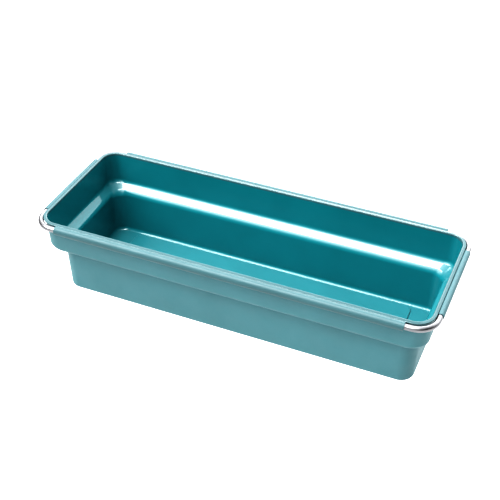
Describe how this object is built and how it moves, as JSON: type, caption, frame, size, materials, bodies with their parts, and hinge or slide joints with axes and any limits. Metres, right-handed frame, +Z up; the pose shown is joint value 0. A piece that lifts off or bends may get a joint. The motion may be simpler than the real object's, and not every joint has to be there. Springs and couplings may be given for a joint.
{
  "type": "paint roller tray",
  "caption": "Long stepped plastic trough with a rolled rim, side rails under the rim and a pull-out wire handle with a grip at each end.",
  "frame": {"origin": "middle of the base, on the surface the tray stands on", "axes": "+X along the tray's length to the right-hand handle, +Y to the back long side, +Z up"},
  "size_m": [0.451, 0.1704, 0.0989],
  "materials": {
    "tray_plastic": "glossy moulded teal plastic",
    "rail_plastic": "glossy extruded teal plastic",
    "grip_plastic": "satin teal plastic",
    "wire_steel": "bright chromed steel wire",
    "nylon": "natural nylon"
  },
  "bodies": {
    "tray": {"tray_body": "tray_plastic", "front_rail": "rail_plastic", "rear_rail": "rail_plastic", "front_left_guide": "nylon", "front_right_guide": "nylon", "rear_left_guide": "nylon", "rear_right_guide": "nylon"},
    "left_handle": {"left_handle_wire": "wire_steel", "left_grip": "grip_plastic", "left_front_shoe": "nylon", "left_rear_shoe": "nylon"},
    "right_handle": {"right_handle_wire": "wire_steel", "right_grip": "grip_plastic", "right_front_shoe": "nylon", "right_rear_shoe": "nylon"}
  },
  "joints": [
    {"name": "left_handle_slide", "type": "slide", "parent": "tray", "child": "left_handle", "axis": [-1, 0, 0], "range_m": [0, 0.108]},
    {"name": "right_handle_slide", "type": "slide", "parent": "tray", "child": "right_handle", "axis": [1, 0, 0], "range_m": [0, 0.108]}
  ]
}
